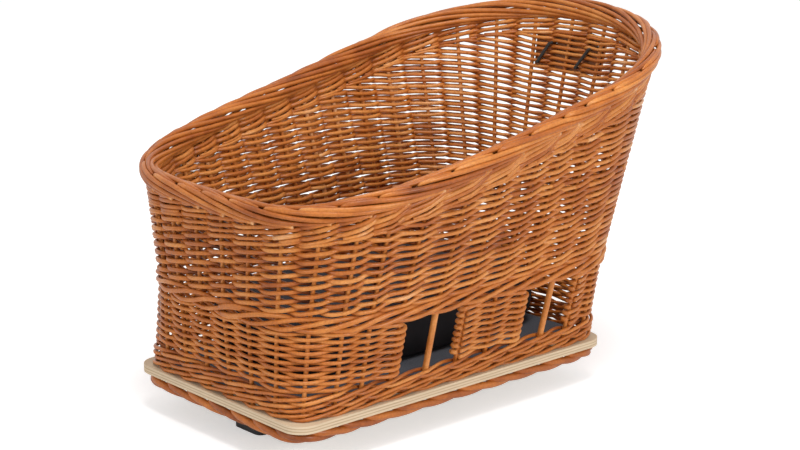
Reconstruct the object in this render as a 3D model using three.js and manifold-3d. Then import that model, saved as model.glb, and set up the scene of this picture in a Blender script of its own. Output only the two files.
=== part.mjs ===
// A willow dog basket for a bicycle's rear rack: plywood board, woven walls with two windows low on
// one side, a rim that climbs to a high back, a mat, a cushion, and a rack rail under the board.
// Millimetres. +X runs from the low front to the high back, +Y to the side without windows, +Z up.
// The origin is the middle of the rail's underside, the face that sits on the rack.
import * as THREE from 'three';
import { mergeVertices } from 'three/addons/utils/BufferGeometryUtils.js';
import Module from 'manifold-3d';

const wasm = await Module();
wasm.setup();

// Clearances
const gap = 0.3;
const channelClearance = 0.35;

// Board, lying with its lower face at height 0 inside the basket group
const boardLength = 420;
const boardWidth = 264.8;
const boardThickness = 8;
const boardCorner = 21;

// From the board's edges to the stakes' centres
const edgeFront = 9;
const edgeBack = 6;
const edgeSide = 10.4;

// How much further out the wall stands at the ledge, and from the ledge to the rim
const ledgeFlare = { front: 7, back: 20, side: 29 };
const rimFlare = { front: 3, back: 91, side: 31 };

// Lines of the stakes' centres: reach to the front and the back of x = 0, the widest place,
// half the width there, and how square the front and back halves are
const baseLine = {
  front: boardLength / 2 - edgeFront,
  back: boardLength / 2 - edgeBack,
  half: boardWidth / 2 - edgeSide,
  widest: 0,
  squareFront: 14,
  squareBack: 14,
};
const ledgeLine = {
  front: baseLine.front + ledgeFlare.front,
  back: baseLine.back + ledgeFlare.back,
  half: baseLine.half + ledgeFlare.side,
  widest: 12,
  squareFront: 3.8,
  squareBack: 5,
};
const rimLine = {
  front: ledgeLine.front + rimFlare.front,
  back: ledgeLine.back + rimFlare.back,
  half: ledgeLine.half + rimFlare.side,
  widest: 150,
  squareFront: 4.1,
  squareBack: 2.1,
};

// How the stakes stand off even spacing: by so many stakes between two stake numbers, or by a share
// of the way round between two such shares
const stakeSpreads = [{ by: 0.32, from: 10, to: 14.6 }, { by: -0.19, from: 4.2, to: 7 }];
const nearShift = { by: 0.0087, from: 0.075, to: 0.275 };
const footLean = { by: 0.016, from: 0.09, to: 0.5 };
const rimLean = { by: 0.043, from: 0.36, to: 0.92 };
const cornerLean = { by: -0.019, from: 0.27, to: 0.43 };

// Heights over the board's lower face
const baseWeaveTop = 32;
const ledgeBottom = 94;
const ledgeTop = 111;
const ledgeMiddle = (ledgeBottom + ledgeTop) / 2;
const rimFront = 206;
const rimRise = 123;
const rimSag = 8;

// Weave, border and stakes
const stakeCount = 36;
const stakeRadius = 2.3;
const windowStickRadius = 3.2;
const weaveHalf = 5.2;
const weaveBetween = 2.2;
const ledgeBulge = 2;
const rimHalfWidth = 10.5;
const rimHalfHeight = 11.5;
const footHalf = 7.2;
const footHeight = 14.5;
const footOutset = 2.5;
const stakeInFoot = 5;
const stakeInRim = 3;
const edgeTurn = 0.12;
const steps = 2;

// Windows, counted in stakes from the middle of the front round by the near side
const windows = [[6, 8], [10, 12]];
const windowSticks = [7, 11];

// Mat and cushion
const matThickness = 4;
const matGap = 2.5;
const matLength = baseLine.front + baseLine.back - 2 * (weaveHalf + matGap);
const matWidth = 2 * (baseLine.half - weaveHalf - matGap);
const matCorner = 26;
const matMiddle = (baseLine.back - baseLine.front) / 2;
const cushionFrontGap = 45.8;
const cushionBackGap = 8.8;
const cushionNearGap = 54.8;
const cushionFarGap = 12.8;
const cushionFront = -baseLine.front + weaveHalf + cushionFrontGap;
const cushionBack = baseLine.back - weaveHalf - cushionBackGap;
const cushionNear = -baseLine.half + weaveHalf + cushionNearGap;
const cushionFar = baseLine.half - weaveHalf - cushionFarGap;
const cushionHeight = 62;
const cushionCrown = 10;
const cushionDrawnIn = 2.5;
const cushionSquare = 7;
const cushionSeam = 9;
const cushionPoints = 40;
const crownRings = 4;
const crownReach = 0.92;

// Patch on the outside of the high back and the two ties that hold it
const patchFrom = 16;
const patchTo = 18;
const patchBottom = 264;
const patchTop = 300;
const patchThickness = 2.5;
const patchOffset = 0.5;
const tieLegs = [[16.56, 16.24], [17.76, 17.46]];
const tieLow = 271;
const tieHigh = 292;
const tieRadius = 1.8;
const tieStand = 2.6;
const tieProud = 1.2;

// Rack rail under the board
const railHeight = 40;
const railLength = 341;
const railWidth = 44;
const railFootHeight = 8;
const grooveHeight = 9;
const grooveDepth = 7;
const flangeWidth = 68;
const flangeThickness = 7;
const railCorner = 8;
const noseGap = 9;
const screwFromEnd = 30.5;
const screwFromSide = 6;
const screwX = railLength / 2 - screwFromEnd;
const screwY = flangeWidth / 2 - screwFromSide;
const screwRadius = 2.4;
const screwHeadRadius = 4.6;
const screwHead = 3;
const screwInBoard = 6.5;

// Catch in the rail's back end
const catchSlotLength = 44;
const catchThickness = 12;
const catchSlotGap = 0.6;
const pinRadius = 3;
const pinFromEnd = 17.5;
const pinX = railLength / 2 - pinFromEnd;
const pinDrop = 17;
const pinGap = 0.35;
const catchHub = 7.5;
const catchLeverReach = 40;
const leverDepth = 4;
const hookReach = 5;
const hookLift = 1.5;
const hookThickness = 4.5;
const hookChamfer = 3;
const toeWidth = 4;

// Colours
const look = (color, roughness, metalness = 0) =>
  new THREE.MeshStandardMaterial({ color, roughness, metalness });
const willow = () => look(0xb86a32, 0.55);
const willowStake = () => look(0xa8602f, 0.55);
const plywood = () => look(0xdcc49c, 0.65);
const felt = () => look(0x41444c, 0.95);
const cloth = () => look(0x151417, 0.95);
const leather = () => look(0x7d4a2a, 0.6);
const blackLeather = () => look(0x17120f, 0.6);
const blackPlastic = () => look(0x26272b, 0.45);
const steel = () => look(0x9a9da1, 0.35, 1);

const root = new THREE.Group();
const basket = new THREE.Group();
basket.position.z = railHeight;
root.add(basket);

function add(name, geometry, material, parent = basket) {
  const mesh = new THREE.Mesh(geometry, material);
  mesh.name = name;
  parent.add(mesh);
  return mesh;
}

// A geometry as a solid that can be joined and cut, and back again
function solid(geometry) {
  const plain = geometry.clone();
  plain.deleteAttribute('normal');
  plain.deleteAttribute('uv');
  const merged = mergeVertices(plain, 1e-4);
  return new wasm.Manifold(new wasm.Mesh({
    numProp: 3,
    vertProperties: new Float32Array(merged.attributes.position.array),
    triVerts: new Uint32Array(merged.index.array),
  }));
}

function geometryOf(body) {
  const mesh = body.getMesh();
  const geometry = new THREE.BufferGeometry();
  geometry.setAttribute('position', new THREE.BufferAttribute(new Float32Array(mesh.vertProperties), 3));
  geometry.setIndex(new THREE.BufferAttribute(new Uint32Array(mesh.triVerts), 1));
  geometry.computeVertexNormals();
  return geometry;
}

// A closed outline walked by its length: 0 and 1 are the middle of the front, 0.25 the near side
function outline({ front, back, widest, half, squareFront, squareBack }) {
  const points = [];
  const samples = 1440;
  for (let i = 0; i <= samples; i += 1) {
    const angle = -Math.PI + (2 * Math.PI * i) / samples;
    const c = Math.cos(angle);
    const s = Math.sin(angle);
    const power = 2 / (c < 0 ? squareFront : squareBack);
    const reach = c < 0 ? widest + front : back - widest;
    const x = widest + reach * Math.sign(c) * Math.abs(c) ** power;
    const y = half * Math.sign(s) * Math.abs(s) ** power;
    points.push(new THREE.Vector2(x, y));
  }
  const lengths = [0];
  for (let i = 1; i <= samples; i += 1) lengths.push(lengths[i - 1] + points[i].distanceTo(points[i - 1]));
  return (share) => {
    const target = (share - Math.floor(share)) * lengths[samples];
    let low = 0;
    let high = samples;
    while (high - low > 1) {
      const middle = (low + high) >> 1;
      if (lengths[middle] <= target) low = middle;
      else high = middle;
    }
    const part = (target - lengths[low]) / (lengths[high] - lengths[low]);
    return points[low].clone().lerp(points[high], part);
  };
}

const baseAt = outline(baseLine);
const ledgeAt = outline(ledgeLine);
const rimAt = outline(rimLine);

// A smooth bump between two places, used to spread or lean the stakes
function bump(value, { by, from, to }) {
  const part = (value - from) / (to - from);
  return part > 0 && part < 1 ? by * Math.sin(Math.PI * part) : 0;
}

// Place along the three outlines of a stake number, which may be a fraction
function shares(stake) {
  const whole = stake - stakeCount * Math.floor(stake / stakeCount);
  const spread = stakeSpreads.reduce((sum, one) => sum + bump(whole, one), 0);
  const even = (whole + spread + 0.5) / stakeCount;
  const turn = even - Math.floor(even);
  const ledge = turn - bump(turn, nearShift);
  const side = ledge < 0.5 ? 1 : -1;
  const base = ledge + side * bump(ledge < 0.5 ? ledge : 1 - ledge, footLean);
  const rim = ledge + bump(ledge, rimLean) + bump(ledge, cornerLean);
  return { base, ledge, rim };
}

function rimHeightOver(x) {
  const part = (x + rimLine.front) / (rimLine.front + rimLine.back);
  return rimFront + rimRise * part - rimSag * Math.sin(Math.PI * part);
}

const rimHeightAt = (stake) => rimHeightOver(rimAt(shares(stake).rim).x);

// Centre of the wall at a stake number and a height: upright in the board, then two straight leans
function wallCentre(stake, height) {
  const { base, ledge, rim } = shares(stake);
  const low = baseAt(base);
  if (height <= boardThickness) return new THREE.Vector3(low.x, low.y, height);
  const middle = ledgeAt(ledge);
  if (height <= ledgeMiddle) {
    const flat = low.lerp(middle, (height - boardThickness) / (ledgeMiddle - boardThickness));
    return new THREE.Vector3(flat.x, flat.y, height);
  }
  const high = rimAt(rim);
  const top = rimHeightAt(stake);
  const flat = middle.lerp(high, (height - ledgeMiddle) / (top - ledgeMiddle));
  return new THREE.Vector3(flat.x, flat.y, height);
}

function outwardAt(stake, height) {
  const along = wallCentre(stake + 0.05, height).sub(wallCentre(stake - 0.05, height));
  return new THREE.Vector3(along.y, -along.x, 0).normalize();
}

const wallPoint = (stake, height, out) =>
  wallCentre(stake, height).addScaledVector(outwardAt(stake, height), out);

// Stake numbers from one place to another, with steps placed evenly to both sides of each stake
function stations(from, to) {
  const places = [from];
  for (let i = Math.floor(from * steps); i / steps < to - 0.05; i += 1) {
    if (i / steps > from + 0.05) places.push(i / steps);
  }
  places.push(to);
  return places;
}

const allRound = Array.from({ length: stakeCount * steps }, (_, i) => i / steps);

// A body swept through sections with the same number of points, closed on itself or with flat ends
function sweep(sections, closed) {
  const count = sections[0].length;
  const position = sections.flat().flatMap((p) => [p.x, p.y, p.z]);
  const index = [];
  const last = closed ? sections.length : sections.length - 1;
  for (let i = 0; i < last; i += 1) {
    const here = i * count;
    const next = ((i + 1) % sections.length) * count;
    for (let j = 0; j < count; j += 1) {
      const k = (j + 1) % count;
      index.push(here + j, here + k, next + k, here + j, next + k, next + j);
    }
  }
  if (!closed) {
    const end = (sections.length - 1) * count;
    for (let j = 1; j < count - 1; j += 1) {
      index.push(0, j + 1, j);
      index.push(end, end + j, end + j + 1);
    }
  }
  const geometry = new THREE.BufferGeometry();
  geometry.setAttribute('position', new THREE.Float32BufferAttribute(position, 3));
  geometry.setIndex(index);
  if (volumeOf(geometry) < 0) geometry.index.array.reverse();
  geometry.computeVertexNormals();
  return geometry;
}

function volumeOf(geometry) {
  const at = (i) => new THREE.Vector3().fromBufferAttribute(geometry.attributes.position, i);
  const { array } = geometry.index;
  let sum = 0;
  for (let i = 0; i < array.length; i += 3) {
    sum += at(array[i]).dot(at(array[i + 1]).cross(at(array[i + 2])));
  }
  return sum / 6;
}

// A rod's path through given points, sampled at exactly those points
class RodPath extends THREE.Curve {
  constructor(points) {
    super();
    this.points = points;
  }

  getPoint(t) {
    const spans = this.points.length - 1;
    const i = Math.min(Math.floor(t * spans + 1e-9), spans - 1);
    return this.points[i].clone().lerp(this.points[i + 1], t * spans - i);
  }

  getPointAt(t) {
    return this.getPoint(t);
  }

  getTangentAt(t) {
    const step = 0.5 / (this.points.length - 1);
    return this.getPoint(Math.min(t + step, 1)).sub(this.getPoint(Math.max(t - step, 0))).normalize();
  }
}

const squareAround = (radius) => [(radius + channelClearance) * Math.SQRT2, 4];

function rod(points, radius, sides = 6) {
  const section = new THREE.Shape();
  for (let i = 0; i < sides; i += 1) {
    const angle = ((i + 0.5) * 2 * Math.PI) / sides;
    if (i === 0) section.moveTo(radius * Math.cos(angle), radius * Math.sin(angle));
    else section.lineTo(radius * Math.cos(angle), radius * Math.sin(angle));
  }
  const extrudePath = new RodPath(points);
  return new THREE.ExtrudeGeometry(section, { steps: points.length - 1, bevelEnabled: false, extrudePath });
}

function roundedRectangle(length, width, corner) {
  const x = length / 2;
  const y = width / 2;
  const shape = new THREE.Shape();
  shape.moveTo(-x + corner, -y);
  shape.lineTo(x - corner, -y);
  shape.absarc(x - corner, -y + corner, corner, -Math.PI / 2, 0);
  shape.lineTo(x, y - corner);
  shape.absarc(x - corner, y - corner, corner, 0, Math.PI / 2);
  shape.lineTo(-x + corner, y);
  shape.absarc(-x + corner, y - corner, corner, Math.PI / 2, Math.PI);
  shape.lineTo(-x, -y + corner);
  shape.absarc(-x + corner, -y + corner, corner, Math.PI, 1.5 * Math.PI);
  return shape;
}

function slab(shape, bottom, depth, curveSegments = 5) {
  const body = new THREE.ExtrudeGeometry(shape, { depth, bevelEnabled: false, curveSegments });
  return body.translate(0, 0, bottom);
}

function cylinder(radius, length, sides = 12) {
  return new THREE.CylinderGeometry(radius, radius, length, sides);
}

// Stakes: rods up through foot border, board, walls and rim, bent over the board and over the ledge
const lowBend = boardThickness + gap / 2;
const highBend = ledgeTop + gap / 2;
function stakePoints(stake, below, above) {
  const top = rimHeightAt(stake);
  return [
    wallCentre(stake, -stakeInFoot - below),
    wallCentre(stake, lowBend),
    wallCentre(stake, highBend),
    wallCentre(stake, top).lerp(wallCentre(stake, top - 20), -(stakeInRim + above) / 20),
  ];
}

let channels = null;
for (let i = 0; i < stakeCount; i += 1) {
  const stick = windowSticks.indexOf(i) + 1;
  const radius = stick ? windowStickRadius : stakeRadius;
  const name = stick ? `window_stick_${stick}` : `stake_${String(i + 1).padStart(2, '0')}`;
  add(name, rod(stakePoints(i, 0, 0), radius), willowStake());
  const channel = solid(rod(stakePoints(i, gap, gap), ...squareAround(radius)));
  channels = channels ? channels.add(channel) : channel;
}

// Board with a hole for each stake and blind holes for the rail's screws
const screwPlaces = [[-screwX, -screwY], [-screwX, screwY], [screwX, -screwY], [screwX, screwY]];
let board = solid(slab(roundedRectangle(boardLength, boardWidth, boardCorner), 0, boardThickness));
board = board.subtract(channels);
for (const [x, y] of screwPlaces) {
  const hole = cylinder(screwRadius + gap, screwInBoard + 1 + gap).rotateX(Math.PI / 2);
  board = board.subtract(solid(hole.translate(x, y, (screwInBoard + gap - 1) / 2)));
}
add('base_board', geometryOf(board), plywood());

// Woven rings: each is a closed band around the stakes, with a channel for every one of them. A wall of
// rods is thick at the stakes, where the rods pass outside and inside, and thin between them
const evenHalf = () => weaveHalf;
const ribbedHalf = (stake) =>
  weaveBetween + (weaveHalf - weaveBetween) * Math.abs(Math.cos(Math.PI * stake));

function band(places, closed, lower, upper, halfAt, extraRows = []) {
  const sections = places.map((stake) => {
    const half = halfAt(stake);
    const rows = [[lower, -half], [lower, half], ...extraRows, [upper, half], [upper, -half]];
    return rows.map(([height, out]) => {
      const level = typeof height === 'function' ? height(stake) : height;
      return wallPoint(stake, level, out);
    });
  });
  return sweep(sections, closed);
}

const cutByStakes = (geometry) => geometryOf(solid(geometry).subtract(channels));

add('base_weave', cutByStakes(band(allRound, true, boardThickness + gap, baseWeaveTop, evenHalf)), willow());

const [firstWindow, secondWindow] = windows;
const aroundTheBack = stations(secondWindow[1] - edgeTurn, firstWindow[0] + stakeCount + edgeTurn);
const betweenWindows = stations(firstWindow[1] - edgeTurn, secondWindow[0] + edgeTurn);
const lowerFrom = baseWeaveTop + gap;
const lowerTo = ledgeBottom - gap;
const lowerWall = (places) => cutByStakes(band(places, false, lowerFrom, lowerTo, ribbedHalf));
add('lower_weave', lowerWall(aroundTheBack), willow());
add('lower_weave_between_windows', lowerWall(betweenWindows), willow());

const bulge = [[ledgeMiddle, weaveHalf + ledgeBulge]];
add('ledge_band', cutByStakes(band(allRound, true, ledgeBottom, ledgeTop, evenHalf, bulge)), willow());

// Rim border: a rolled ring around the tips of the stakes
const rimRing = allRound.map((stake) => Array.from({ length: 8 }, (_, i) => {
  const angle = ((i + 0.5) * Math.PI) / 4;
  const height = rimHeightAt(stake);
  const point = wallPoint(stake, height, rimHalfWidth * Math.cos(angle));
  return point.setZ(height + rimHalfHeight * Math.sin(angle));
}));
add('rim_border', cutByStakes(sweep(rimRing, true)), willow());

const underRim = rimHalfHeight * Math.sin((3 * Math.PI) / 8) + 1.5 * gap;
const upperTop = (stake) =>
  rimHeightOver(wallCentre(stake, rimHeightAt(stake) - underRim).x) - underRim;
let upper = solid(band(allRound, true, ledgeTop + gap, upperTop, ribbedHalf)).subtract(channels);

// Foot border: the twisted ring under the board that hides the stakes' lower ends
const footRows = [
  [-gap, -0.9],
  [-gap, 0.9],
  [-footHeight / 2, 1],
  [-footHeight, 0.6],
  [-footHeight, -0.6],
  [-footHeight / 2, -1],
];
const footRing = allRound.map((stake) =>
  footRows.map(([z, part]) => wallPoint(stake, 0, footOutset + part * footHalf).setZ(z)));
add('foot_border', cutByStakes(sweep(footRing, true)), willow());

// Patch on the outside of the high back, bent to the wall, held by two ties through the weave
const patchPlaces = stations(patchFrom, patchTo);
const patchInner = weaveHalf + patchOffset;
const patchRows = [
  [patchBottom, patchInner],
  [patchBottom, patchInner + patchThickness],
  [patchTop, patchInner + patchThickness],
  [patchTop, patchInner],
];
let patch = solid(sweep(patchPlaces.map((s) => patchRows.map(([z, out]) => wallPoint(s, z, out))), false));

tieLegs.forEach(([lowLeg, highLeg], i) => {
  const inside = -weaveHalf - tieStand;
  const outside = patchInner + patchThickness + tieProud;
  const points = [
    wallPoint(lowLeg, tieLow, outside),
    wallPoint(lowLeg, tieLow, inside),
    wallPoint(highLeg, tieHigh, inside),
    wallPoint(highLeg, tieHigh, outside),
  ];
  const tie = rod(points, tieRadius);
  add(`patch_tie_${i + 1}`, tie, blackLeather());
  const hole = solid(rod(points, ...squareAround(tieRadius)));
  upper = upper.subtract(hole);
  patch = patch.subtract(hole);
});
add('upper_weave', geometryOf(upper), willow());
add('back_patch', geometryOf(patch), leather());

// Mat lying on the board inside the base weave
const matShape = roundedRectangle(matLength, matWidth, matCorner);
add('floor_mat', slab(matShape, boardThickness + gap, matThickness).translate(matMiddle, 0, 0), felt());

// Cushion: rounded plan, seams at its upper and lower edges, sides drawn in between, crowned top
function cushionRing(height, inset) {
  const halfLength = (cushionBack - cushionFront) / 2 - inset;
  const halfWidth = (cushionFar - cushionNear) / 2 - inset;
  const x0 = (cushionBack + cushionFront) / 2;
  const y0 = (cushionFar + cushionNear) / 2;
  return Array.from({ length: cushionPoints }, (_, i) => {
    const angle = (i * 2 * Math.PI) / cushionPoints;
    const c = Math.cos(angle);
    const s = Math.sin(angle);
    const x = x0 + halfLength * Math.sign(c) * Math.abs(c) ** (2 / cushionSquare);
    const y = y0 + halfWidth * Math.sign(s) * Math.abs(s) ** (2 / cushionSquare);
    return new THREE.Vector3(x, y, height);
  });
}

const cushionBottom = boardThickness + gap + matThickness + gap;
const cushionRows = [
  [0, cushionSeam],
  [0.04, cushionSeam / 3],
  [0.1, 0],
  [0.16, 1],
  [0.35, cushionDrawnIn],
  [0.65, cushionDrawnIn],
  [0.86, 1],
  [0.93, 0],
  [0.99, 2],
].map(([part, inset]) => cushionRing(cushionBottom + part * cushionHeight, inset));
const crownTop = cushionBottom + cushionHeight;
const crownInset = crownReach * (cushionFar - cushionNear) / 2;
for (let i = 1; i <= crownRings; i += 1) {
  const part = i / (crownRings + 0.4);
  const height = crownTop + cushionCrown * Math.sin(part * Math.PI / 2);
  cushionRows.push(cushionRing(height, 2 + crownInset * part ** 1.6));
}
add('seat_cushion', sweep(cushionRows, false), cloth());

// Rack rail: a profile with a side groove on each side that the rack's tongues slide into
const halfRail = railWidth / 2;
const railProfile = [
  [-halfRail, -railHeight],
  [halfRail, -railHeight],
  [halfRail, -railHeight + railFootHeight],
  [halfRail - grooveDepth, -railHeight + railFootHeight],
  [halfRail - grooveDepth, -railHeight + railFootHeight + grooveHeight],
  [halfRail, -railHeight + railFootHeight + grooveHeight],
  [halfRail, -gap - flangeThickness],
  [flangeWidth / 2, -gap - flangeThickness],
  [flangeWidth / 2, -gap],
];
const mirrored = railProfile.slice(2).reverse().map(([y, z]) => [-y, z]);
const railShape = new THREE.Shape([...railProfile, ...mirrored].map(([y, z]) => new THREE.Vector2(y, z)));
const railBar = new THREE.ExtrudeGeometry(railShape, { depth: railLength, bevelEnabled: false });
railBar.rotateX(Math.PI / 2).rotateZ(Math.PI / 2).translate(-railLength / 2, 0, 0);
const railPlan = roundedRectangle(railLength, flangeWidth, railCorner);
let rail = solid(railBar).intersect(solid(slab(railPlan, -railHeight - 1, railHeight + 2, 3)));
const nosePlan = roundedRectangle(railLength, railWidth + 0.01, railCorner);
const nose = solid(slab(nosePlan, -railHeight - 1, railHeight + 1 - noseGap, 3));
const aboveNose = new THREE.BoxGeometry(railLength + 2, flangeWidth + 2, noseGap + 2);
rail = rail.intersect(nose.add(solid(aboveNose.translate(0, 0, 1 - noseGap / 2))));

// Slot and pin hole for the catch at the back end
const slotWidth = catchThickness + 2 * catchSlotGap;
const slot = new THREE.BoxGeometry(catchSlotLength + 2, slotWidth, railHeight)
  .translate(railLength / 2 - catchSlotLength / 2 + 1, 0, -railHeight / 2 - flangeThickness - gap - 1);
rail = rail.subtract(solid(slot));
const pinHole = cylinder(pinRadius + pinGap, railWidth + 2).translate(pinX, 0, -pinDrop);
rail = rail.subtract(solid(pinHole));
for (const [x, y] of screwPlaces) {
  const hole = cylinder(screwRadius + gap, flangeThickness + 4).rotateX(Math.PI / 2);
  rail = rail.subtract(solid(hole.translate(x, y, -flangeThickness / 2)));
}
add('rack_rail', geometryOf(rail), blackPlastic());

screwPlaces.forEach(([x, y], i) => {
  const headTop = -gap - flangeThickness - gap;
  const headBottom = headTop - screwHead;
  const profile = [
    [0, headBottom],
    [screwHeadRadius, headBottom],
    [screwHeadRadius, headTop],
    [screwRadius, headTop],
    [screwRadius, screwInBoard],
    [0, screwInBoard],
  ].map(([r, z]) => new THREE.Vector2(r, z));
  const screw = new THREE.LatheGeometry(profile, 12).rotateX(Math.PI / 2).translate(x, y, 0);
  add(`rail_screw_${i + 1}`, screw, steel());
});

add('catch_pin', cylinder(pinRadius, railWidth - 1).translate(pinX, 0, -pinDrop), steel());

// Catch: a hub on the pin, a hook that reaches down behind the rack's end bar, and a thumb lever
const catchOutline = new THREE.Shape();
const hookBottom = -railHeight + pinDrop + hookLift;
const hookTop = hookBottom + hookThickness;
catchOutline.moveTo(-catchHub, 0);
catchOutline.lineTo(-catchHub, hookTop + hookChamfer);
catchOutline.lineTo(-catchHub - hookReach, hookTop);
catchOutline.lineTo(-catchHub - hookReach, hookBottom);
catchOutline.lineTo(catchHub - toeWidth, hookBottom);
catchOutline.lineTo(catchHub, hookTop + hookChamfer - 1);
catchOutline.lineTo(catchHub + 1, -catchHub - 1);
catchOutline.lineTo(catchLeverReach - 3, -catchHub - 1 - leverDepth);
catchOutline.lineTo(catchLeverReach, -catchHub - 1);
catchOutline.lineTo(catchHub + 3, -catchHub + leverDepth);
catchOutline.absarc(0, 0, catchHub, 0, Math.PI);
const catchBar = slab(catchOutline, 0, catchThickness, 4);
catchBar.rotateX(Math.PI / 2).translate(0, catchThickness / 2, 0);
const catchBore = cylinder(pinRadius + pinGap, catchThickness + 2);
const catchGroup = new THREE.Group();
catchGroup.position.set(pinX, 0, -pinDrop);
basket.add(catchGroup);
add('catch_lever', geometryOf(solid(catchBar).subtract(solid(catchBore))), blackPlastic(), catchGroup);

export default root;
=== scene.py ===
import math
import bpy
import bmesh
import numpy as np
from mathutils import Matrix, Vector


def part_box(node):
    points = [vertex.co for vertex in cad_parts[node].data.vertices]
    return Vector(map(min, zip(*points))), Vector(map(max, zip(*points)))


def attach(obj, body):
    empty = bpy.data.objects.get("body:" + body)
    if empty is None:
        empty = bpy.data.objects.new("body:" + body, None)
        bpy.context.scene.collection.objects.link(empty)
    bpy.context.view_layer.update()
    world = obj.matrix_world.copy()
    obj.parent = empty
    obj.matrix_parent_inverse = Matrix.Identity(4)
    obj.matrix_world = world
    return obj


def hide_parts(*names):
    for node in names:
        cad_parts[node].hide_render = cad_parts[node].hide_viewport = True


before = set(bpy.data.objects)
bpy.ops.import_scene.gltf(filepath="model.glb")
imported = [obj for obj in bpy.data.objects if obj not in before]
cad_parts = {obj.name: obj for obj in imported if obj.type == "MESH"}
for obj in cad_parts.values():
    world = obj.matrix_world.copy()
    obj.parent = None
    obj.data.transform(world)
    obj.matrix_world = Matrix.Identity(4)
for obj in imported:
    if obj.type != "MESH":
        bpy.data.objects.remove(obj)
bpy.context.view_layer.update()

# The board
# Birch plywood, 8 mm thick, sawn with round corners and drilled for the stakes. The rail is screwed
# on under it. Its edges are eased and show the pale and dark plies.
BOARD_UNDERSIDE, BOARD_TOP = 40.0, 48.0  # millimetres above the floor
PALE_PLY, DARK_PLY = (0.62, 0.49, 0.33), (0.42, 0.29, 0.17)
DARK_PLIES = (0.33, 0.68)  # where the dark plies lie in the board's thickness
ACROSS_PLY = ((-0.075, PALE_PLY), (-0.03, DARK_PLY), (0.03, DARK_PLY), (0.075, PALE_PLY))


def start_material(name, roughness):
    """A new material, its node tree, its surface shader and the piece's own coordinates."""
    material = bpy.data.materials.new(name)
    material.use_nodes = True
    tree = material.node_tree
    surface = tree.nodes["Principled BSDF"]
    surface.inputs["Roughness"].default_value = roughness
    place = tree.nodes.new("ShaderNodeTexCoord").outputs["Object"]
    return material, tree, surface, place


def mottling(tree, place, scale, detail=2):
    """Soft irregular spots, with about so many to the metre."""
    noise = tree.nodes.new("ShaderNodeTexNoise")
    noise.inputs["Scale"].default_value = scale
    noise.inputs["Detail"].default_value = detail
    tree.links.new(place, noise.inputs["Vector"])
    return noise.outputs["Fac"]


def colours(tree, amount, *stops):
    """The colour for an amount, from stops that are each an amount and its colour."""
    ramp = tree.nodes.new("ShaderNodeValToRGB")
    elements = ramp.color_ramp.elements
    for end, (position, colour) in ((elements[0], stops[0]), (elements[1], stops[-1])):
        end.position = position
        end.color = (*colour, 1)
    for position, colour in stops[1:-1]:
        elements.new(position).color = (*colour, 1)
    tree.links.new(amount, ramp.inputs["Fac"])
    return ramp.outputs["Color"]


def darkened(tree, colour, by, strength):
    """A colour multiplied by another."""
    mix = tree.nodes.new("ShaderNodeMixRGB")
    mix.blend_type = "MULTIPLY"
    mix.inputs["Fac"].default_value = strength
    tree.links.new(colour, mix.inputs["Color1"])
    tree.links.new(by, mix.inputs["Color2"])
    return mix.outputs["Color"]


def give_finish(node, material):
    """Give a piece of the frame its material, and return the piece."""
    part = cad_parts[node]
    part.data.materials.clear()
    part.data.materials.append(material)
    return part


def ease_edges(part, width, sharper_than):
    """Round the edges of a piece that turn by more than so many degrees. The width is in metres."""
    eased = part.modifiers.new("rounded edge", "BEVEL")
    eased.width = width
    eased.segments = 2
    eased.limit_method = "ANGLE"
    eased.angle_limit = math.radians(sharper_than)


plywood, tree, sawn, place = start_material("plywood", roughness=0.6)
split = tree.nodes.new("ShaderNodeSeparateXYZ")
tree.links.new(place, split.inputs["Vector"])
depth_in_board = tree.nodes.new("ShaderNodeMapRange")
depth_in_board.inputs["From Min"].default_value = BOARD_UNDERSIDE / 1000
depth_in_board.inputs["From Max"].default_value = BOARD_TOP / 1000
tree.links.new(split.outputs["Z"], depth_in_board.inputs["Value"])
dark_plies = [(middle + offset, tint) for middle in DARK_PLIES for offset, tint in ACROSS_PLY]
plies = colours(tree, depth_in_board.outputs["Result"], (0, PALE_PLY), *dark_plies, (1, PALE_PLY))
along_grain = tree.nodes.new("ShaderNodeMapping")
along_grain.inputs["Scale"].default_value = (0.35, 0.35, 9)
tree.links.new(place, along_grain.inputs["Vector"])
streaks = mottling(tree, along_grain.outputs["Vector"], scale=60, detail=4)
grain = colours(tree, streaks, (0.3, (0.62, 0.55, 0.48)), (0.65, (1, 1, 1)))
tree.links.new(darkened(tree, plies, grain, 0.4), sawn.inputs["Base Color"])
ease_edges(give_finish("base_board", plywood), 0.0007, sharper_than=50)

# The stakes
# 36 upright willow rods stand in the board's holes and run up to the rim, two of them free in the
# windows and a little thicker. All the weaving is laid along the wall that they make, which is
# straight-sided at the board, a wider oval at the ledge and a long leaning oval at the rim.
STAKES = 36
WINDOW_STICKS = (7, 11)  # numbered from the front, round the near side, the back and the far side
# Lengths are in millimetres, and heights are counted from the board's underside.
BOARD_THICK = BOARD_TOP - BOARD_UNDERSIDE
LEDGE_Z = 102.5
RIM_FRONT, RIM_BACK = 211, 315  # how far the rim reaches to the front and to the back
RIM_LOW, RIM_CLIMB, RIM_SAG = 206, 123, 8
STEEPEST_LEAN = 0.6
STAKE_FOOT, STAKE_POINTS = -2, 60
# Tables of numbers give first where, as a height or a stake number, and then how much.
STAKE_RADIUS = ([0, 90, 330], [2.35, 2.2, 2.1])
WINDOW_STICK_RADIUS, WINDOW_STICK_SHADE = ([98, 112], [3.2, 2.1]), 0.72
ABOVE_LEDGE = ([110, 125], [0, 1])
PRESSED_IN = ([12, 16, 31, 34], [0, 0.9, 0.9, 0])  # at the back and the far side, over the ledge, where it also sets the stakes' painted light


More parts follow.
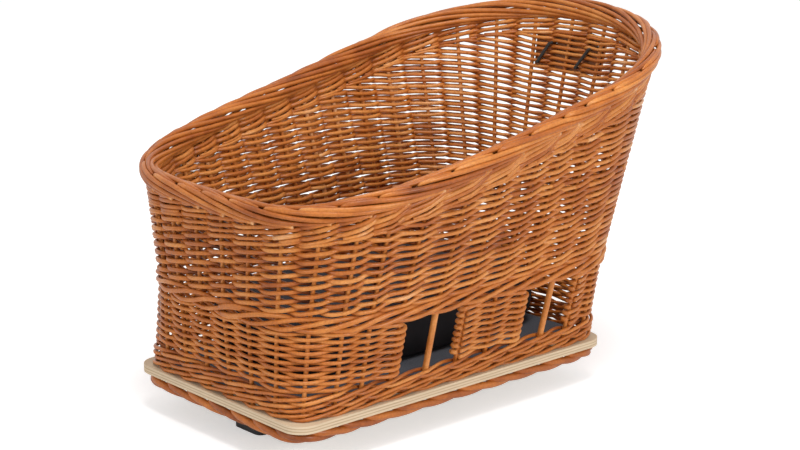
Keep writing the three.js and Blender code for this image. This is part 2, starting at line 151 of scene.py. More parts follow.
def oval(front, back, middle, half, front_power, back_power):
    """An outline from above, as its x, its y and the way along it, from the front round by the near
    side. A power of 2 makes a round end, and a high one a square end."""
    angle = np.linspace(-math.pi, math.pi, 2881)
    c, s = np.cos(angle), np.sin(angle)
    power = np.where(c < 0, front_power, back_power)
    reach = np.where(c < 0, middle + front, back - middle)
    x = middle + reach * np.sign(c) * np.abs(c) ** (2 / power)
    y = half * np.sign(s) * np.abs(s) ** (2 / power)
    along = np.r_[0, np.cumsum(np.hypot(np.diff(x), np.diff(y)))]
    return x, y, along


BASE_LINE = oval(front=201, back=204, middle=0, half=122, front_power=14, back_power=14)
LEDGE_LINE = oval(front=208, back=224, middle=12, half=151, front_power=3.8, back_power=5)
RIM_LINE = oval(front=RIM_FRONT, back=RIM_BACK, middle=150, half=182,
                front_power=4.1, back_power=2.1)


def point_on(line, turn):
    """The point at a share of the way round an outline."""
    x, y, along = line
    way = (turn % 1) * along[-1]
    return np.stack([np.interp(way, along, x), np.interp(way, along, y)], -1)


def swell(v, a, b):
    """A smooth rise from 0 to 1 and back to 0, from a to b."""
    f = (v - a) / (b - a)
    return np.where((f > 0) & (f < 1), np.sin(math.pi * np.clip(f, 0, 1)), 0)


def turn_at(t):
    """The share of the way round at which stake t meets the ledge. The spacing isn't quite even."""
    t = t % STAKES
    turn = ((t + 0.32 * swell(t, 10, 14.6) - 0.19 * swell(t, 4.2, 7) + 0.5) / STAKES) % 1
    return turn - 0.0087 * swell(turn, 0.075, 0.275)


def rim_turn(turn):
    """The same at the rim. The long stakes at the back and the far side lean along the wall."""
    return turn + 0.043 * swell(turn, 0.36, 0.92) - 0.019 * swell(turn, 0.27, 0.43)


def base_turn(turn):
    """The same at the board. The holes along the two sides lie a little further back."""
    half_turn = np.where(turn < 0.5, turn, 1 - turn)
    side = np.where(turn < 0.5, 1, -1)
    return turn + side * 0.016 * swell(half_turn, 0.09, 0.5)


def rim_over(x):
    """The rim's height, which is low in front and high behind."""
    f = (x + RIM_FRONT) / (RIM_FRONT + RIM_BACK)
    return RIM_LOW + RIM_CLIMB * f - RIM_SAG * np.sin(math.pi * np.clip(f, 0, 1))


def rim_z(t):
    """The rim's height at stake number t."""
    return rim_over(point_on(RIM_LINE, rim_turn(turn_at(t)))[..., 0])


def middle_of_wall(t, z):
    """The x and y of the wall's middle, straight from the board to the ledge and on to the rim."""
    turn = turn_at(t)
    low = point_on(BASE_LINE, base_turn(turn))
    mid = point_on(LEDGE_LINE, turn)
    top = point_on(RIM_LINE, rim_turn(turn))
    top_z = rim_over(top[..., 0])
    below = np.clip((z - BOARD_THICK) / (LEDGE_Z - BOARD_THICK), 0, 1)[..., None]
    above = np.clip((z - LEDGE_Z) / (top_z - LEDGE_Z), 0, 1.2)[..., None]
    return np.where(below < 1, low + (mid - low) * below, mid + (top - mid) * above)


def wall(t, z, out, upright=False):
    """Points in metres at stake number t, height z and a distance out from the wall's middle. That
    distance is square to the leaning wall, or level where upright."""
    t, z, out = np.broadcast_arrays(*(np.asarray(value, float) for value in (t, z, out)))
    here = middle_of_wall(t, z)
    along = middle_of_wall(t + 0.05, z) - middle_of_wall(t - 0.05, z)
    along = along / np.hypot(along[..., 0], along[..., 1])[..., None]
    away = np.stack([along[..., 1], -along[..., 0]], -1)
    climb = middle_of_wall(t, z + 1) - middle_of_wall(t, z - 1)
    lean = np.clip(np.sum(climb * away, -1) / 2, 0, STEEPEST_LEAN) * (0 if upright else 1)
    level = out / np.hypot(1, lean)
    here = here + level[..., None] * away
    return np.concatenate([here, (z - level * lean)[..., None] + BOARD_UNDERSIDE], -1) / 1000


def rods(name, strands, sides=8):
    """One piece of round willow rods. Each strand has its points in metres, its radius in
    millimetres and its shade, from 0 for the darkest to 1 for the palest."""
    curve = bpy.data.curves.new(name, "CURVE")
    curve.dimensions = "3D"
    curve.bevel_depth = 0.001
    curve.bevel_resolution = sides // 2 - 2
    curve.use_fill_caps = True
    shades = []
    for points, radius, shade in strands:
        count = len(points)
        spline = curve.splines.new("POLY")
        spline.points.add(count - 1)
        spline.points.foreach_set("co", np.c_[points, np.ones(count)].ravel())
        spline.points.foreach_set("radius", np.broadcast_to(radius, count).astype(float))
        spline.use_smooth = True
        shades.append(np.broadcast_to(shade, count))
    paths = bpy.data.objects.new(name + "_line", curve)
    bpy.context.collection.objects.link(paths)
    graph = bpy.context.evaluated_depsgraph_get()
    mesh = bpy.data.meshes.new_from_object(paths.evaluated_get(graph))
    bpy.data.objects.remove(paths)
    mesh.name = name
    # The mesh holds the end caps first, from the last rod to the first, and then each rod's rings.
    caps = np.array([(shade[-1], shade[0]) for shade in reversed(shades)]).ravel()
    shade_of_rings = np.r_[caps, np.concatenate(shades)]
    tone = mesh.attributes.new("tone", "FLOAT", "POINT")
    tone.data.foreach_set("value", np.repeat(shade_of_rings, sides).astype(np.float32))
    bm = bmesh.new()
    bm.from_mesh(mesh)
    bmesh.ops.remove_doubles(bm, verts=bm.verts, dist=1e-6)
    bm.to_mesh(mesh)
    bm.free()
    mesh.materials.append(willow)
    piece = bpy.data.objects.new(name, mesh)
    bpy.context.collection.objects.link(piece)
    return piece


def bump_by(tree, height, surface, strength, distance):
    """Small lumps in a surface. The distance is their height in metres."""
    lumps = tree.nodes.new("ShaderNodeBump")
    lumps.inputs["Strength"].default_value = strength
    lumps.inputs["Distance"].default_value = distance
    tree.links.new(height, lumps.inputs["Height"])
    tree.links.new(lumps.outputs["Normal"], surface.inputs["Normal"])


# Steamed willow has a satin orange-brown skin. Each rod has a shade of its own, darker in some
# places, scuffed paler in others and finely specked. The shade that each rod carries also holds
# painted shade where rods go inside, and painted light on the stakes at the back and the far side.
willow, tree, skin, place = start_material("willow", roughness=0.33)
skin.inputs["Specular IOR Level"].default_value = 0.32
shade_and_painted_light = tree.nodes.new("ShaderNodeAttribute")
shade_and_painted_light.attribute_name = "tone"
blotches = mottling(tree, place, scale=38, detail=3)
paler_or_darker = tree.nodes.new("ShaderNodeMapRange")
paler_or_darker.inputs["From Min"].default_value = 0.3
paler_or_darker.inputs["From Max"].default_value = 0.7
paler_or_darker.inputs["To Min"].default_value = -0.14
paler_or_darker.inputs["To Max"].default_value = 0.14
tree.links.new(blotches, paler_or_darker.inputs["Value"])
shade_here = tree.nodes.new("ShaderNodeMath")
shade_here.operation = "ADD"
tree.links.new(shade_and_painted_light.outputs["Fac"], shade_here.inputs[0])
tree.links.new(paler_or_darker.outputs["Result"], shade_here.inputs[1])
steamed = colours(tree, shade_here.outputs["Value"],
                  (0, (0.10, 0.022, 0.005)), (0.28, (0.34, 0.086, 0.013)),
                  (0.58, (0.50, 0.155, 0.026)), (0.86, (0.64, 0.255, 0.062)),
                  (1, (0.76, 0.40, 0.18)))
fine_spots = mottling(tree, place, scale=420)
specks = colours(tree, fine_spots, (0.35, (0.55, 0.45, 0.4)), (0.6, (1, 1, 1)))
tree.links.new(darkened(tree, steamed, specks, 0.35), skin.inputs["Base Color"])
bump_by(tree, blotches, skin, strength=0.25, distance=0.0006)


def up_stake(i):
    """Heights along stake i, from under the board to its tip in the rim."""
    return np.linspace(STAKE_FOOT, rim_z(np.array(float(i))) - 1, STAKE_POINTS)


rng = np.random.default_rng(3)
uprights = []
for i in range(STAKES):
    if i in WINDOW_STICKS:
        continue
    z = up_stake(i)
    pressed_in_and_painted_light = np.interp(i, *PRESSED_IN)
    sway = 0.2 * np.sin(z / rng.uniform(14, 22) + rng.uniform(0, 6))
    sway = sway - pressed_in_and_painted_light * np.interp(z, *ABOVE_LEDGE)
    # Painted light: the stakes at the back and the far side stand in shade and are painted paler.
    shade = rng.uniform(0.5, 0.8) + 0.17 * pressed_in_and_painted_light
    uprights.append((wall(i, z, sway), np.interp(z, *STAKE_RADIUS), shade))
stakes = rods("stakes", uprights)
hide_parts(*[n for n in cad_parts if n.startswith("stake_")])
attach(stakes, "basket")
for number, i in enumerate(WINDOW_STICKS, 1):
    z = up_stake(i)
    standing_free = [(wall(i, z, 0), np.interp(z, *WINDOW_STICK_RADIUS), WINDOW_STICK_SHADE)]
    stick = rods(f"stick_in_window_{number}", standing_free, sides=12)
    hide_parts(f"window_stick_{number}")
    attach(stick, "basket")

# The foot border
# Below the board each stake's lower end is bent to the right and laid under the next ones, which
# makes a ring like a thick rope and keeps the stakes from pulling out.
FOOT_TO_RIGHT = [0, 0.3, 0.8, 1.4, 1.9, 2.5]  # in stakes
FOOT_HEIGHT = [1, -3.9, -5.6, -9.2, -10.7, -8.5]
FOOT_OUT = [0.5, 5.2, 6.4, 4.6, 0.6, -2.2]
FOOT_RADIUS = ([0, 0.3, 1.2, 2.0, 2.5], [2.6, 3.6, 3.9, 3.1, 2.0])


def smooth(values):
    """The mean of each value and the two on either side."""
    return np.convolve(np.pad(values, 2, "edge"), np.ones(5) / 5, "valid")


lower_ends = []
for i in range(STAKES):
    s = np.linspace(0, FOOT_TO_RIGHT[-1], 26)
    height = smooth(np.interp(s, FOOT_TO_RIGHT, FOOT_HEIGHT))
    out = smooth(np.interp(s, FOOT_TO_RIGHT, FOOT_OUT))
    radius = np.interp(s, *FOOT_RADIUS)
    lower_ends.append((wall(i + s, height, out, upright=True), radius, rng.uniform(0.2, 0.6)))
border = rods("foot_border_rods", lower_ends, sides=10)
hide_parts("foot_border")
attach(border, "basket")

# The base weaving
# Three rounds of three-rod waling hold the stakes' feet on the board. Each rod passes outside two
# stakes and inside one, and rises to the right.
BASE_ROUNDS, BASE_RODS = 3, 3
BASE_FOOT, BASE_ROUND_HIGH = 12.2, 7.8
BASE_RISE, BASE_OUT, BASE_RADIUS = 3.0, 4.3, 1.9
PAINTED_SHADE_INSIDE = 0.3  # painted shade, taken off a rod's shade where it goes inside
ONCE_ROUND = np.arange(0, STAKES + 0.9, 1 / 8)  # stake numbers along a rod that laps its own start
base = []
for r in range(BASE_ROUNDS):
    for j in range(BASE_RODS):
        phase = 2 * math.pi * (ONCE_ROUND + j + r * 1.5 - 0.5) / BASE_RODS
        swing = np.clip(0.35 + 1.3 * np.cos(phase), -1, 1)
        level = BASE_FOOT + r * BASE_ROUND_HIGH + BASE_RISE * np.sin(phase)
        level = level + 0.4 * np.sin(ONCE_ROUND * 0.9 + r * 2 + j)
        level = level + 0.25 * np.sin(ONCE_ROUND * 2.7 + j)
        radius = BASE_RADIUS + 0.15 * np.sin(ONCE_ROUND * 0.6 + j * 2)
        # Painted shade: the rod is darker where it goes inside the stakes.
        shade = rng.uniform(0.42, 0.74) - PAINTED_SHADE_INSIDE * (1 - swing) / 2
        base.append((wall(ONCE_ROUND, level, BASE_OUT * swing), radius, shade))
base = rods("base_rods", base)
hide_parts("base_weave")
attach(base, "basket")

# The lower weaving
# Single rods go outside one stake and inside the next, row on row, and turn back round the stakes
# at the sides of the two windows. A short wall of them stands between the windows.
LOWER_FOOT, LOWER_ROWS, LOWER_ROW_HIGH = 34.0, 17, 3.5
LOWER_OUT = 3.5
LOWER_WOBBLE = 0.28
JAMB_REACH = 4.4 / 27  # how far a rod goes past the last stake to turn round it, in stakes
JAMB_RADIUS = 2.45
NEAR_JAMB = ([0, 0.3], [2.4, 1.95])  # the radius by the distance from the last stake


def randing(first, last, seed):
    """Rods that go to and fro between two stakes."""
    draw = np.random.default_rng(seed)
    wobble = draw.normal(0, LOWER_WOBBLE, (LOWER_ROWS + 2, STAKES + 60))
    half_turn = np.linspace(0, math.pi, 7)[1:-1]
    strands, line, radii = [], [], []
    shade = draw.uniform(0.45, 0.8)
    for k in range(LOWER_ROWS):
        to_right = k % 2 == 0
        t = np.arange(first, last + 1e-6, 1 / 8)[::1 if to_right else -1]
        level = LOWER_FOOT + (k + 0.5) * LOWER_ROW_HIGH
        z = level + np.interp(t, np.arange(len(wobble[k])), wobble[k])
        line.append(wall(t, z, LOWER_OUT * np.cos(math.pi * (t + k))))
        radii.append(np.interp(np.minimum(t - first, last - t), *NEAR_JAMB))
        end = last if to_right else first
        past_end = (1 if to_right else -1) * JAMB_REACH * np.sin(half_turn)
        end_out = LOWER_OUT * math.cos(math.pi * (end + k))
        climb = np.interp(half_turn, [0, math.pi], [z[-1], level + LOWER_ROW_HIGH])
        line.append(wall(end + past_end, climb, end_out * np.cos(half_turn)))
        radii.append(np.full(len(half_turn), JAMB_RADIUS))
        top_row = k == LOWER_ROWS - 1
        if (not to_right and draw.uniform() < 0.7) or top_row:
            points = np.concatenate(line)
            kept = len(points) - (len(half_turn) if top_row else 0)
            radius = np.concatenate(radii) + draw.normal(0, 0.07)
            strands.append((points[:kept], radius[:kept], shade))
            line, radii = [], []
            shade = draw.uniform(0.42, 0.82)
    return strands


lower = rods("lower_rods", randing(12, 42, seed=11))
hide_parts("lower_weave")
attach(lower, "basket")
between = rods("lower_rods_between_windows", randing(8, 10, seed=12))
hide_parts("lower_weave_between_windows")
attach(between, "basket")

# The ledge
# One round of four-rod waling in thick rods closes the windows at the top and carries the wider
# upper wall.
LEDGE_RODS, LEDGE_RISE, LEDGE_RADIUS = 4, 6.3, 2.45
LEDGE_OUT, LEDGE_SWING = 1.0, 3.6  # its middle's distance out, and how far it swings from there
ledge = []
for j in range(LEDGE_RODS):
    phase = 2 * math.pi * (ONCE_ROUND + j) / LEDGE_RODS
    swing = np.clip(0.5 + 1.1 * np.cos(phase), -1, 1)
    level = LEDGE_Z + LEDGE_RISE * np.sin(phase)
    level = level + 0.8 * np.sin(ONCE_ROUND * 0.8 + 1) + 0.4 * np.sin(ONCE_ROUND * 2.3 + j)
    radius = LEDGE_RADIUS + 0.2 * np.sin(ONCE_ROUND * 0.5 + j * 2)
    # Painted shade: the rod is darker where it goes inside the stakes.
    shade = rng.uniform(0.5, 0.82) - PAINTED_SHADE_INSIDE * (1 - swing) / 2
    ledge.append((wall(ONCE_ROUND, level, LEDGE_OUT + LEDGE_SWING * swing), radius, shade))
ledge = rods("ledge_rods", ledge, sides=10)
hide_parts("ledge_band")
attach(ledge, "basket")

# The upper weaving
# Pairs of rods are twisted round the stakes, one outside and one inside each stake, up to the rim.
# The rows run level, crowd together under the rim and end there. Three more follow the rim itself.
UPPER_FOOT, UPPER_OUT, UPPER_WOBBLE = 115, 3.8, 0.42
PIECE_LONG, TAPER = (9, 15), (1.08, 0.94)  # a rod's length in stakes, and its radius at the ends
CROWD_UNDER_RIM, CROWDING, LAST_ABOVE = 27, 0.72, 12
RIM_ROWS = (19.4, 13.9, 8.6)  # millimetres under the rim
RIM_ROW_HIGHEST, RIM_ROW_SPREAD = 7.4, 1.12
BETWEEN_STAKES = np.array([0, 0.16, 0.3, 0.4, 0.5, 0.6, 0.7, 0.84])  # the points of a rod
# By stake number: a row's height, a rod's radius as a share of that, how suddenly it changes sides,
# which wall this is, and how much higher the outside rod lies than the inside one.
PAIR_ROW = ([0, 3, 4.5, 6, 9, 12, 14, 16, 18, 20, 22, 24, 26, 29, 31, 33, 36],
            [8.6, 8.6, 8.1, 7.25, 7.05, 6.8, 6.3, 5.9, 6.0, 6.35, 6.5, 7.0, 6.9, 6.8, 7.2, 8.3,
             8.6])
PAIR_RADIUS = ([0, 4, 8, 12, 15, 20, 22, 24.5, 31, 33, 36],
               [0.255, 0.265, 0.295, 0.33, 0.32, 0.3, 0.31, 0.32, 0.32, 0.28, 0.255])
SHORT_TURN = ([0, 2.5, 5, 19, 22, 31, 33.5, 36], [1, 1, 1.8, 1.8, 1.2, 1.2, 1, 1])
NEAR_WALL = ([2.5, 5, 12, 15], [0, 1, 1, 0])
FRONT_WALL = ([0, 2.5, 5, 31, 33.5, 36], [1, 1, 0, 0, 1, 1])
FAR_WALL = ([18, 22, 31, 33], [0, 1, 1, 0])
OUTSIDE_HIGHER = ([0, 12, 15, 19, 21.5, 31, 34, 36], [0, 0, 0.05, 0.08, 0.22, 0.22, 0, 0])
THIN_UNDER_RIM = ([-4, 6], [1, 0.78])  # by the height over where the rows crowd
# How much a rod climbs in front, thickens on the far wall and is darkened by painted shade where it
# goes inside.
FRONT_RISE, FAR_SWELLING, PAINTED_SHADE_NEAR, PAINTED_SHADE_FAR = 0.26, 0.38, 0.42, 0.22
# By the way past two stakes: the rod is outside from 0 to 1 and inside from 1 to 2.
NEAR_RISE = ([0, 0.15, 0.68, 1.05, 1.25, 1.5, 1.8, 1.92],
             [-0.5, -0.38, -0.26, 0.48, 0.42, 0, -0.3, -0.5])
NEAR_OUT = ([0, 0.12, 0.5, 0.9, 1.1, 1.25, 1.4, 1.6, 1.8, 1.92],
            [1.4, 3.3, UPPER_OUT, 3.6, 2.4, 0, -3, -UPPER_OUT, -3.2, -0.8])
NEAR_THICKER = ([0, 0.25, 0.9, 1.1, 1.3, 1.6, 1.85], [1.26, 1, 1, 1.2, 1.2, 1, 1.2])
LEVEL_RISE = ([0, 0.2, 0.8, 1, 1.2, 1.8, 2], [-0.26, -0.04, 0.04, 0.26, 0.04, -0.04, -0.26])
FAR_THICKER = ([0, 0.14, 0.32, 0.9, 1, 1.14, 1.32, 1.9], [0.5, 1, 0, 0, 0.5, 1, 0, 0])


def one_of_pair(t, second, row, over_rows):
    """How a rod of a pair lies at stake numbers t: its rise over its row, its distance out, its
    radius and the painted shade that darkens it where it goes inside."""
    turn = t % STAKES
    near, front, far = (np.interp(turn, *side) for side in (NEAR_WALL, FRONT_WALL, FAR_WALL))
    passing = (t + second + 0.5 + 0.2 * near) % 2
    aside = np.sin(math.pi * (passing - 0.1 * near))
    rise = near * np.interp(passing, *NEAR_RISE, period=2)
    rise = rise + (1 - near - front) * (1 - 0.5 * far) * np.interp(passing, *LEVEL_RISE)
    rise = rise - FRONT_RISE * front * np.cos(math.pi * passing)
    rise = row * (rise + np.interp(turn, *OUTSIDE_HIGHER) * aside)
    out = UPPER_OUT * np.sin(math.pi / 2 * np.clip(np.interp(turn, *SHORT_TURN) * aside, -1, 1))
    out = near * np.interp(passing, *NEAR_OUT, period=2) + (1 - near) * out
    radius = row * np.interp(turn, *PAIR_RADIUS) * np.interp(over_rows, *THIN_UNDER_RIM)
    radius = radius * (1 + FAR_SWELLING * far * np.interp(passing, *FAR_THICKER, period=2))
    radius = radius * (1 + near * (np.interp(passing, *NEAR_THICKER, period=2) - 1))
    # Painted shade: on the near side and in front a rod darkens as it goes inside the stakes,
    # elsewhere where it passes through the wall between them.
    painted_shade = np.where(near + front > 0.5, PAINTED_SHADE_NEAR * ((1 - out / UPPER_OUT) / 2) ** 1.3,
                      PAINTED_SHADE_FAR * (1 - np.abs(out) / UPPER_OUT))
    return rise, out, radius, painted_shade


def pairing(seed, levels, beside_rim):
    """Pairs of rods, row by row. Rows in levels are counted from the ledge, and those in beside_rim
    are their distances under the rim. Each row is made up of several pieces of rod."""
    draw = np.random.default_rng(seed)
    per_stake = len(BETWEEN_STAKES)
    strands = []
    for k in (*levels, *beside_rim):
        wobble = draw.normal(0, UPPER_WOBBLE, STAKES)
        wobble[-1] = wobble[0]
        seam = int(draw.integers(0, STAKES))
        t = np.r_[(np.arange(STAKES)[:, None] + BETWEEN_STAKES).ravel(), STAKES] + seam
        row = np.interp(t % STAKES, *PAIR_ROW)
        wander = np.interp(t % STAKES, np.linspace(0, STAKES, STAKES), wobble)
        if k in beside_rim:
            row = RIM_ROW_SPREAD * np.minimum(row, RIM_ROW_HIGHEST)
            level, over_rows = rim_z(t) - k, np.full(len(t), -9)
        else:
            level = UPPER_FOOT + k * row
            over_rows = level - (rim_z(t) - CROWD_UNDER_RIM)
            level = level - CROWDING * np.maximum(over_rows, 0)
        kept = over_rows < LAST_ABOVE
        for second in (0, 1):
            rise, out, radius, painted_shade = one_of_pair(t, second, row, over_rows)
            points = wall(t, level + rise + wander, out)
            spots = draw.normal(0, 0.07, STAKES * 2 + 1)
            mottle = np.interp(t, np.arange(STAKES * 2 + 1), spots)
            piece_long = draw.integers(*PIECE_LONG) * per_stake
            for start in range(0, STAKES * per_stake, piece_long):
                piece = slice(max(start - 1, 0), min(start + piece_long, len(t) - 1) + 2)
                taper = np.linspace(*TAPER, len(t[piece]))
                shade = draw.uniform(0.42, 0.82)
                ends = np.flatnonzero(np.diff(np.r_[0, kept[piece].astype(int), 0]))
                for a, b in zip(ends[::2], ends[1::2]):
                    if b - a >= 4:
                        # The painted shade is taken off the rod's own shade.
                        strands.append((points[piece][a:b], (radius[piece] * taper)[a:b],
                                        (shade + mottle - painted_shade)[piece][a:b]))
    return strands


upper = rods("upper_rods", pairing(21, range(0, 17), ()))
upper_2 = rods("upper_rods_under_rim", pairing(22, range(17, 34), RIM_ROWS))
for part in (upper, upper_2):
    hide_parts("upper_weave")
    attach(part, "basket")

# The rim
# The stakes' tips are bent down to the right and rolled over one another, five or six lying side by
# side, into a thick border. Each goes over the top, and its cut end shows under the outer edge.
RING_HIGH, RING_WIDE = 8.7, 7.7  # half the border's height and half its width
ROLL = 32.0  # degrees from one stake to the next
STRAY, STRAY_DEPTH = 5, 0.05  # how far a rod strays from its way, in degrees and in depth
INSIDE_START, OUTSIDE_START = 266, 62  # degrees, where 0 is the outside and 90 is the top
# By the way to the right, in stakes.
INSIDE_DEPTH = ([0, 1.8, 2.6, 5.8, 6.1, 6.36], [0.98, 1.0, 1.04, 1.03, 0.95, 0.72])
INSIDE_RADIUS = ([0, 0.5, 2, 5, 6.1, 6.36], [2.0, 2.3, 2.6, 2.5, 2.1, 1.5])
OUTSIDE_DEPTH = ([0, 0.08, 0.26, 0.6, 2.3, 3.5, 3.85], [0.68, 0.92, 1.04, 1.03, 1.02, 1.06, 1.16])
OUTSIDE_RADIUS = ([0, 0.03, 0.08, 0.16, 0.5, 2, 3.85], [0.9, 1.6, 2.1, 2.3, 2.5, 2.4, 2.1])
PALE_ENDS = ([0, 0.2, 0.5, 3.7, 3.82, 3.85], [0.2, 0.12, 0, 0, 0.3, 0.6])


def rolled(t, angle, depth):
    """Points round the border's core, at an angle in radians and a depth of about 1."""
    z = rim_z(t) + RING_HIGH * depth * np.sin(angle)
    return wall(t, z, RING_WIDE * depth * np.cos(angle), upright=True)


rim = []
for i in range(STAKES):
    wave, lift = rng.uniform(0, 6), rng.uniform(-0.05, 0.06)
    s = np.r_[np.linspace(0, 5.9, 46), 6.05, 6.2, 6.3, 6.36]
    angle = np.radians(INSIDE_START - ROLL * s + STRAY * np.sin(s * 1.4 + wave))
    depth = smooth(np.interp(s, *INSIDE_DEPTH)) + STRAY_DEPTH * np.sin(s * 1.2 + wave * 2) + lift
    radius = np.interp(s, *INSIDE_RADIUS) + rng.uniform(-0.2, 0.25)
    mottle = np.interp(s, np.arange(8), rng.normal(0, 0.06, 8))
    rim.append((rolled(i + s, angle, depth), radius, rng.uniform(0.3, 0.64) + mottle))

    wave, lift = rng.uniform(0, 6), rng.uniform(-0.05, 0.06)
    s = np.r_[0, 0.03, 0.08, 0.16, np.linspace(0.26, 3.85, 34)]
    grown = np.clip(s, 0, 1)
    angle = np.radians(OUTSIDE_START - ROLL * s + STRAY * np.sin(s * 1.4 + wave) * grown)
    depth = np.interp(s, *OUTSIDE_DEPTH) + (STRAY_DEPTH * np.sin(s * 1.2 + wave * 2) + lift) * grown
    points = rolled(i + s + rng.uniform(0.4, 0.56), angle, depth)
    radius = np.interp(s, *OUTSIDE_RADIUS) + rng.uniform(-0.15, 0.2)
    shade = rng.uniform(0.3, 0.7) + np.interp(s, *PALE_ENDS)
    rim.append((points, radius, shade + np.interp(s, np.arange(5), rng.normal(0, 0.06, 5))))
rim = rods("rim_rods", rim, sides=10)
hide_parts("rim_border")
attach(rim, "basket")

# The mat
# A thin mat of grey felt, cut to the room inside the base weaving. It lies loose on the board
# under the cushion.
MAT_MIDDLE, MAT_THICK = 0.002, 0.0036  # metres above its underside, and metres


def piece_from(bm, name):
    """A finished bmesh as an object at the origin."""
    mesh = bpy.data.meshes.new(name)
    bm.to_mesh(mesh)
    bm.free()
    piece = bpy.data.objects.new(name, mesh)
    bpy.context.collection.objects.link(piece)
    return piece


low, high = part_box("floor_mat")
long, wide = high.x - low.x, high.y - low.y
bm = bmesh.new()
bmesh.ops.create_grid(bm, x_segments=48, y_segments=30, size=0.5)
for v in bm.verts:
    x, y = v.co.x * long + (high.x + low.x) / 2, v.co.y * wide + (high.y + low.y) / 2
    v.co = Vector((x, y, low.z + MAT_MIDDLE))
mat = piece_from(bm, "mat")
thickness = mat.modifiers.new("thickness", "SOLIDIFY")
thickness.thickness = MAT_THICK
thickness.offset = 0
felt, tree, wool, place = start_material("felt", roughness=0.95)
hairs = mottling(tree, place, scale=900, detail=5)
greys = colours(tree, hairs, (0.3, (0.035, 0.037, 0.045)), (0.7, (0.075, 0.08, 0.095)))
tree.links.new(greys, wool.inputs["Base Color"])
bump_by(tree, hairs, wool, strength=0.6, distance=0.0004)
mat.data.materials.append(felt)
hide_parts("floor_mat")
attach(mat, "basket")

# The cushion
# A thick foam cushion in black cloth lies loose on the mat. Its top is crowned and its corners and
# edges are round.
CORNERS = 7  # the power of its outline, where 2 would be round and a high one square
CROWN_FLATNESS, CROWN_EDGE = 6, 0.4  # powers, of how flat its middle is and how steep its edge
SIDE_SWELL, EDGE_TOP, EDGE_UNDERSIDE = 0.06, 0.80, 0.9  # shares of its half size
low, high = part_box("seat_cushion")
centre, half = (low + high) / 2, (high - low) / 2
bm = bmesh.new()
bmesh.ops.create_cube(bm, size=2)
bmesh.ops.subdivide_edges(bm, edges=bm.edges, cuts=20, use_grid_fill=True)
for v in bm.verts:
    x, y, z = v.co
    edge = max(abs(x), abs(y))
    plan = edge / (abs(x) ** CORNERS + abs(y) ** CORNERS) ** (1 / CORNERS) if edge > 0 else 1
    plan = plan * (1 - SIDE_SWELL * abs(z) ** 3)
    crown = max((1 - abs(x) ** CROWN_FLATNESS) * (1 - abs(y) ** CROWN_FLATNESS), 0) ** CROWN_EDGE
    at_edge = EDGE_TOP if z > 0 else EDGE_UNDERSIDE
    full = at_edge + (1 - at_edge) * crown
    v.co = Vector((centre.x + half.x * x * plan, centre.y + half.y * y * plan,
                   centre.z + half.z * z * full))
cushion = piece_from(bm, "cushion")
for face in cushion.data.polygons:
    face.use_smooth = True
cloth, tree, woven, place = start_material("cushion cloth", roughness=0.9)
folds = mottling(tree, place, scale=9)
blacks = colours(tree, folds, (0.3, (0.006, 0.006, 0.008)), (0.7, (0.017, 0.015, 0.019)))
tree.links.new(blacks, woven.inputs["Base Color"])
bump_by(tree, mottling(tree, place, scale=1300), woven, strength=0.4, distance=0.0003)
cushion.data.materials.append(cloth)
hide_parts("seat_cushion")
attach(cushion, "basket")

# The rail, its screws and its catch
# A black plastic rail hangs under the board on four steel screws. A black catch turns on a steel
# pin between the rail's sides and locks it to the rack.
plastic, tree, moulded, place = start_material("black plastic", roughness=0.5)
pits = mottling(tree, place, scale=700)
blacks = colours(tree, pits, (0, (0.012, 0.012, 0.014)), (1, (0.03, 0.03, 0.033)))
tree.links.new(blacks, moulded.inputs["Base Color"])
bump_by(tree, pits, moulded, strength=0.2, distance=0.0002)
for name in ("rack_rail", "catch_lever"):
    ease_edges(give_finish(name, plastic), 0.0008, sharper_than=30)
steel, tree, metal, place = start_material("steel", roughness=0.4)
brushing = mottling(tree, place, scale=500)
greys = colours(tree, brushing, (0, (0.35, 0.35, 0.36)), (1, (0.6, 0.6, 0.6)))
tree.links.new(greys, metal.inputs["Base Color"])
metal.inputs["Metallic"].default_value = 1
for name in ("rail_screw_1", "rail_screw_2", "rail_screw_3", "rail_screw_4", "catch_pin"):
    give_finish(name, steel)

# The leather patch and its ties
# A plain brown leather patch lies outside the high back wall. Two black ties go through the
# weaving and hold it from the inside.
leather, tree, hide, place = start_material("brown leather", roughness=0.55)
pores = tree.nodes.new("ShaderNodeTexVoronoi")
pores.inputs["Scale"].default_value = 900
tree.links.new(place, pores.inputs["Vector"])
browns = colours(tree, pores.outputs["Distance"],
                 (0, (0.24, 0.085, 0.03)), (1, (0.34, 0.125, 0.045)))
tree.links.new(browns, hide.inputs["Base Color"])
give_finish("back_patch", leather)
tie_cord, tree, lace, place = start_material("black cord", roughness=0.8)
twist = mottling(tree, place, scale=600)
blacks = colours(tree, twist, (0, (0.005, 0.005, 0.005)), (1, (0.03, 0.026, 0.022)))
tree.links.new(blacks, lace.inputs["Base Color"])
for name in ("patch_tie_1", "patch_tie_2"):
    give_finish(name, tie_cord)

# The studio
# A pale paper floor under a white background, which is brighter to the camera than the light that
# it gives. There is a big soft lamp above and one on each side.
FLOOR_GLOW = 0.42  # what the camera sees beyond the light that falls on the floor
SKY_LIGHT = 0.5
bm = bmesh.new()
bmesh.ops.create_grid(bm, x_segments=1, y_segments=1, size=6)
floor = piece_from(bm, "floor")
paper = bpy.data.materials.new("floor")
paper.use_nodes = True
nodes, links = paper.node_tree.nodes, paper.node_tree.links
sheet = nodes["Principled BSDF"]
sheet.inputs["Base Color"].default_value = (0.93, 0.93, 0.93, 1)
sheet.inputs["Roughness"].default_value = 0.9
sheet.inputs["Specular IOR Level"].default_value = 0.1
sheet.inputs["Emission Color"].default_value = (1, 1, 1, 1)
ray = nodes.new("ShaderNodeLightPath")
glow = nodes.new("ShaderNodeMath")
glow.operation = "MULTIPLY"
glow.inputs[1].default_value = FLOOR_GLOW
links.new(ray.outputs["Is Camera Ray"], glow.inputs[0])
links.new(glow.outputs["Value"], sheet.inputs["Emission Strength"])
floor.data.materials.append(paper)

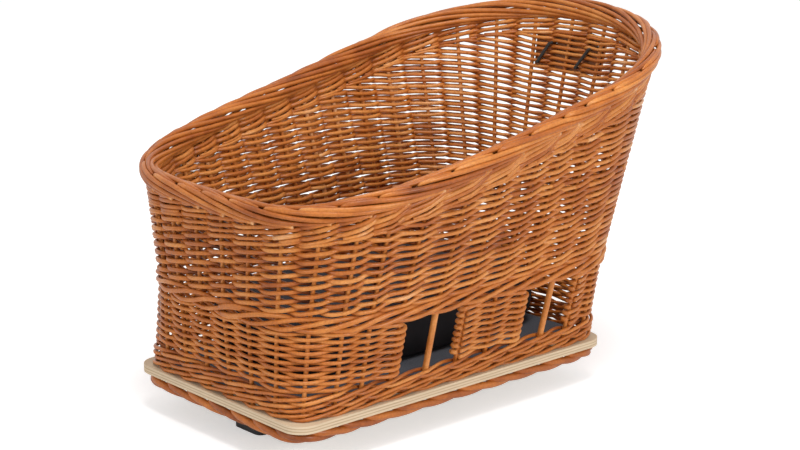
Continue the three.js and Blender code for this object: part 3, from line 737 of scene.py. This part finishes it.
world = bpy.data.worlds.new("studio")
bpy.context.scene.world = world
world.use_nodes = True
nodes, links = world.node_tree.nodes, world.node_tree.links
nodes.clear()
seen = nodes.new("ShaderNodeBackground")
seen.inputs["Color"].default_value = (1, 1, 1, 1)
lit = nodes.new("ShaderNodeBackground")
lit.inputs["Color"].default_value = (1, 1, 1, 1)
lit.inputs["Strength"].default_value = SKY_LIGHT
ray = nodes.new("ShaderNodeLightPath")
looks = ray.outputs["Is Camera Ray"]
for kind in ("Is Glossy Ray", "Is Transmission Ray"):
    either_ray = nodes.new("ShaderNodeMath")
    either_ray.operation = "MAXIMUM"
    links.new(looks, either_ray.inputs[0])
    links.new(ray.outputs[kind], either_ray.inputs[1])
    looks = either_ray.outputs["Value"]
sky = nodes.new("ShaderNodeMixShader")
links.new(looks, sky.inputs["Fac"])
links.new(lit.outputs["Background"], sky.inputs[1])
links.new(seen.outputs["Background"], sky.inputs[2])
links.new(sky.outputs["Shader"], nodes.new("ShaderNodeOutputWorld").inputs["Surface"])


def soft_light(name, place, aim, size, power):
    """A round lamp at a place in metres, turned to what it is aimed at."""
    lamp = bpy.data.lights.new(name, "AREA")
    lamp.shape = "DISK"
    lamp.size = size
    lamp.energy = power
    stand = bpy.data.objects.new(name, lamp)
    stand.location = place
    stand.rotation_euler = (Vector(aim) - Vector(place)).to_track_quat("-Z", "Y").to_euler()
    bpy.context.collection.objects.link(stand)


soft_light("over", (-0.3, -0.6, 2.6), aim=(0, 0, 0.2), size=1.0, power=34)
soft_light("right", (0.3, -2.8, 1.2), aim=(0.05, 0, 0.15), size=0.6, power=34)
soft_light("left", (-2.6, -0.6, 1.2), aim=(0, 0, 0.15), size=1.2, power=18)

# The camera
# It looks down a little on the front and the near side, from the place that was fitted to the
# board's and the rim's edges in the photograph.
AZIMUTH, ELEVATION, DISTANCE = math.radians(41.67), math.radians(15.22), 2.15014
AIM = Vector((0.03525, 0, 0.17564))
camera = bpy.data.cameras.new("camera")
camera.lens = 93.05
camera.sensor_width = 36
eye = bpy.data.objects.new("camera", camera)
bpy.context.collection.objects.link(eye)
back = Vector((-math.sin(AZIMUTH) * math.cos(ELEVATION), -math.cos(AZIMUTH) * math.cos(ELEVATION),
               math.sin(ELEVATION)))
eye.location = AIM + back * DISTANCE
eye.rotation_euler = back.to_track_quat("Z", "Y").to_euler()
bpy.context.scene.camera = eye
bpy.context.scene.view_settings.view_transform = "Standard"
